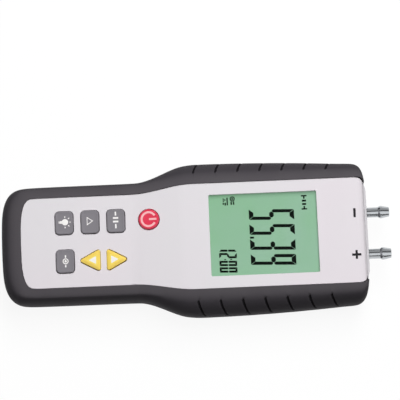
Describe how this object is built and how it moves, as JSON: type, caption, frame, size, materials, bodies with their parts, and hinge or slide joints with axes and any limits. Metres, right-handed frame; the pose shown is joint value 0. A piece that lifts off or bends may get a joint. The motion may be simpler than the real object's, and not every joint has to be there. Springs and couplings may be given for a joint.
{
  "type": "digital manometer",
  "caption": "Hand-held digital manometer: pale housing in a dark rubber boot, hose barbs at the top end, backlit display, sprung keys and a battery door.",
  "frame": {"origin": "on the surface that the back rests on, below the middle of the box", "axes": "+X to the right of the face, +Y along the handle and head to the hose barbs, +Z out of the face"},
  "size_m": [0.072, 0.182, 0.03],
  "materials": {
    "panel_plastic": "fine moulded texture, pale grey",
    "back_plastic": "fine moulded texture, charcoal",
    "boot_rubber": "satin moulded rubber, dark grey",
    "barb_metal": "nickel plated brass",
    "clamp_metal": "stamped sheet",
    "seal_rubber": "moulded",
    "tube_silicone": "extruded silicone",
    "dark_moulding": "moulded",
    "lens_clear": "clear moulded acrylic",
    "display_glass": "polarised glass",
    "frame_plastic": "moulded white",
    "backlight_plastic": "frosted light guide",
    "strip_rubber": "layered elastomer",
    "board_laminate": "solder mask on laminate",
    "component_ceramic": "ceramic",
    "screw_steel": "zinc plated",
    "contact_gold": "gold plated",
    "insert_brass": "turned",
    "key_grey_rubber": "moulded silicone, grey",
    "key_red_rubber": "moulded silicone, red",
    "key_yellow_rubber": "moulded silicone, yellow",
    "battery_can": "printed can, plain",
    "stud_steel": "nickel plated steel"
  },
  "bodies": {
    "housing": {"front_shell": "panel_plastic", "rear_shell": "back_plastic", "grip_boot": "boot_rubber", "port_block": "panel_plastic", "port_clamp": "clamp_metal", "clamp_screws": "screw_steel", "minus_barb": "barb_metal", "plus_barb": "barb_metal", "minus_seal": "seal_rubber", "plus_seal": "seal_rubber", "minus_tube": "tube_silicone", "plus_tube": "tube_silicone", "pressure_sensor": "dark_moulding", "display_lens": "lens_clear", "lens_gasket": "seal_rubber", "lcd_glass": "display_glass", "lcd_frame": "frame_plastic", "lcd_backlight": "backlight_plastic", "contact_strips": "strip_rubber", "main_board": "board_laminate", "board_screws": "screw_steel", "control_chips": "dark_moulding", "small_components": "component_ceramic", "buzzer": "dark_moulding", "clock_crystal": "screw_steel", "key_contacts": "contact_gold", "keypad_mat": "key_grey_rubber", "case_screws": "screw_steel", "tripod_bush": "insert_brass", "battery_contacts": "contact_gold", "door_inserts": "insert_brass"},
    "power_key_body": {"power_key": "key_red_rubber"},
    "hold_key_body": {"hold_key": "key_grey_rubber"},
    "difference_key_body": {"difference_key": "key_grey_rubber"},
    "light_key_body": {"light_key": "key_grey_rubber"},
    "record_key_body": {"record_key": "key_grey_rubber"},
    "up_key_body": {"up_key": "key_yellow_rubber"},
    "down_key_body": {"down_key": "key_yellow_rubber"},
    "door_body": {"battery_door": "back_plastic", "door_screws": "screw_steel", "battery_pad": "seal_rubber"},
    "battery_body": {"battery": "battery_can", "battery_studs": "stud_steel"}
  },
  "joints": [
    {"name": "power_press", "type": "slide", "parent": "housing", "child": "power_key_body", "axis": [0, 0, -1], "range_m": [0, 0.0007], "stiffness_N_per_m": 1500},
    {"name": "hold_press", "type": "slide", "parent": "housing", "child": "hold_key_body", "axis": [0, 0, -1], "range_m": [0, 0.0007], "stiffness_N_per_m": 1500},
    {"name": "difference_press", "type": "slide", "parent": "housing", "child": "difference_key_body", "axis": [0, 0, -1], "range_m": [0, 0.0007], "stiffness_N_per_m": 1500},
    {"name": "light_press", "type": "slide", "parent": "housing", "child": "light_key_body", "axis": [0, 0, -1], "range_m": [0, 0.0007], "stiffness_N_per_m": 1500},
    {"name": "record_press", "type": "slide", "parent": "housing", "child": "record_key_body", "axis": [0, 0, -1], "range_m": [0, 0.0007], "stiffness_N_per_m": 1500},
    {"name": "up_press", "type": "slide", "parent": "housing", "child": "up_key_body", "axis": [0, 0, -1], "range_m": [0, 0.0007], "stiffness_N_per_m": 1500},
    {"name": "down_press", "type": "slide", "parent": "housing", "child": "down_key_body", "axis": [0, 0, -1], "range_m": [0, 0.0007], "stiffness_N_per_m": 1500},
    {"name": "battery_door_lift", "type": "slide", "parent": "housing", "child": "door_body", "axis": [0, 0, -1], "range_m": [0, 0.044]},
    {"name": "battery_lift", "type": "slide", "parent": "housing", "child": "battery_body", "axis": [0, 0, -1], "range_m": [0, 0.022]}
  ],
  "couplings": [
    {"joint": "battery_lift", "follows": "battery_door_lift", "ratio": 0.5}
  ]
}
